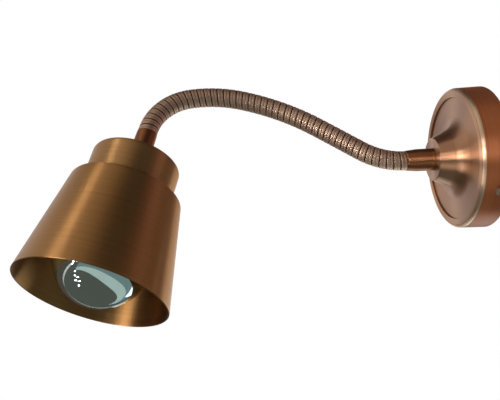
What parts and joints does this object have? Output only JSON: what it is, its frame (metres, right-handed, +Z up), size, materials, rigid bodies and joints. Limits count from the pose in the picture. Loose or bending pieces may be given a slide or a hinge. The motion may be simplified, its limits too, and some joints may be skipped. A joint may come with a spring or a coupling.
{
  "type": "wall reading lamp",
  "caption": "Round wall canopy with a flexible wound gooseneck carrying a spun conical shade with a stepped cap and a silvered-crown bulb.",
  "frame": {"origin": "centre of the wall face of the canopy, on the wall plate's back", "axes": "+Y into the wall, along the canopy's axis; +Z up; the neck lies in the plane X = 0 and reaches out along -Y"},
  "size_m": [0.1, 0.3198, 0.1683],
  "materials": {
    "aged_copper": "antique copper plate, brushed round the axis, lacquered",
    "bronze_sleeve": "antique bronze plate, satin",
    "dark_bronze_winding": "dark bronze plated spring steel wire",
    "cable_sheath": "matt black sheath",
    "zinc_steel": "bright zinc plate",
    "brass_screws": "antique brass plate",
    "bare_brass": "bare turned brass",
    "terminal_plastic": "white moulded",
    "brown_lead": "brown insulation",
    "blue_lead": "blue insulation",
    "green_lead": "green insulation with a yellow stripe",
    "holder_black": "black moulded thermoset",
    "holder_ceramic": "white glazed ceramic",
    "bulb_clear_glass": "clear",
    "bulb_silvering": "silvered inside",
    "stem_glass": "clear",
    "filament_wire": "filament",
    "base_aluminium": "rolled sheet",
    "base_black_glass": "black glass",
    "base_tin": "solder tipped"
  },
  "bodies": {
    "root": {"wall_plate": "zinc_steel", "canopy_side_screws": "brass_screws", "canopy_drum": "aged_copper", "canopy_cone": "aged_copper", "terminal_block": "terminal_plastic", "terminal_screws": "zinc_steel", "earth_screw": "zinc_steel", "wall_washer": "zinc_steel", "wall_lock_nut": "zinc_steel", "wall_nipple": "bare_brass", "wall_sleeve": "bronze_sleeve", "wall_lead_live": "brown_lead", "wall_lead_neutral": "blue_lead", "wall_lead_earth": "green_lead", "neck_winding_01": "dark_bronze_winding", "neck_cable_01": "cable_sheath"},
    "neck_1": {"neck_winding_02": "dark_bronze_winding", "neck_cable_02": "cable_sheath"},
    "neck_2": {"neck_winding_03": "dark_bronze_winding", "neck_cable_03": "cable_sheath"},
    "neck_3": {"neck_winding_04": "dark_bronze_winding", "neck_cable_04": "cable_sheath"},
    "neck_4": {"neck_winding_05": "dark_bronze_winding", "neck_cable_05": "cable_sheath"},
    "neck_5": {"neck_winding_06": "dark_bronze_winding", "neck_cable_06": "cable_sheath"},
    "neck_6": {"neck_winding_07": "dark_bronze_winding", "neck_cable_07": "cable_sheath"},
    "neck_7": {"neck_winding_08": "dark_bronze_winding", "neck_cable_08": "cable_sheath"},
    "neck_8": {"neck_winding_09": "dark_bronze_winding", "neck_cable_09": "cable_sheath"},
    "neck_9": {"neck_winding_10": "dark_bronze_winding", "neck_cable_10": "cable_sheath"},
    "head": {"neck_winding_11": "dark_bronze_winding", "neck_cable_11": "cable_sheath", "head_sleeve": "bronze_sleeve", "head_washer": "zinc_steel", "head_lock_nut": "zinc_steel", "head_nipple": "bare_brass", "head_lead_live": "brown_lead", "head_lead_neutral": "blue_lead", "head_lead_earth": "green_lead", "shade": "aged_copper", "shade_cap": "aged_copper", "shade_ring": "zinc_steel", "holder_body": "holder_black", "holder_dome": "holder_black", "holder_insert": "holder_ceramic", "contact_screws": "bare_brass", "centre_contact": "bare_brass", "side_contact": "bare_brass", "holder_shell": "bare_brass"},
    "bulb": {"bulb_base_shell": "base_aluminium", "bulb_glass": "bulb_clear_glass", "bulb_mirror": "bulb_silvering", "bulb_stem": "stem_glass", "bulb_filament": "filament_wire", "bulb_insulator": "base_black_glass", "bulb_contact": "base_tin"}
  },
  "joints": [
    {"name": "neck_bend_1", "type": "hinge", "parent": "root", "child": "neck_1", "pos_m": [0, -0.07013, 0.00232], "axis": [1, 0, 0], "range_deg": [-18, 18]},
    {"name": "neck_sway_1", "type": "hinge", "parent": "neck_1", "child": "neck_2", "pos_m": [0, -0.0873, 0.01179], "axis": [0, 0.6046, 0.7965], "range_deg": [-18, 18]},
    {"name": "neck_bend_2", "type": "hinge", "parent": "neck_2", "child": "neck_3", "pos_m": [0, -0.10301, 0.02372], "axis": [1, 0, 0], "range_deg": [-18, 18]},
    {"name": "neck_sway_2", "type": "hinge", "parent": "neck_3", "child": "neck_4", "pos_m": [0, -0.11885, 0.03548], "axis": [0, 0.5645, 0.8254], "range_deg": [-18, 18]},
    {"name": "neck_bend_3", "type": "hinge", "parent": "neck_4", "child": "neck_5", "pos_m": [0, -0.13574, 0.04565], "axis": [1, 0, 0], "range_deg": [-18, 18]},
    {"name": "neck_sway_3", "type": "hinge", "parent": "neck_5", "child": "neck_6", "pos_m": [0, -0.1537, 0.05379], "axis": [0, 0.3595, 0.9331], "range_deg": [-18, 18]},
    {"name": "neck_bend_4", "type": "hinge", "parent": "neck_6", "child": "neck_7", "pos_m": [0, -0.17253, 0.05962], "axis": [1, 0, 0], "range_deg": [-18, 18]},
    {"name": "neck_sway_4", "type": "hinge", "parent": "neck_7", "child": "neck_8", "pos_m": [0, -0.19212, 0.0615], "axis": [0, -0.0161, 0.9999], "range_deg": [-18, 18]},
    {"name": "neck_bend_5", "type": "hinge", "parent": "neck_8", "child": "neck_9", "pos_m": [0, -0.21146, 0.05825], "axis": [1, 0, 0], "range_deg": [-18, 5]},
    {"name": "neck_sway_5", "type": "hinge", "parent": "neck_9", "child": "head", "pos_m": [0, -0.22697, 0.04642], "axis": [0, -0.79, 0.613], "range_deg": [-18, 18]},
    {"name": "bulb_unscrew", "type": "slide", "parent": "head", "child": "bulb", "axis": [0, -0.3133, -0.9496], "range_m": [0, 0.024]}
  ]
}
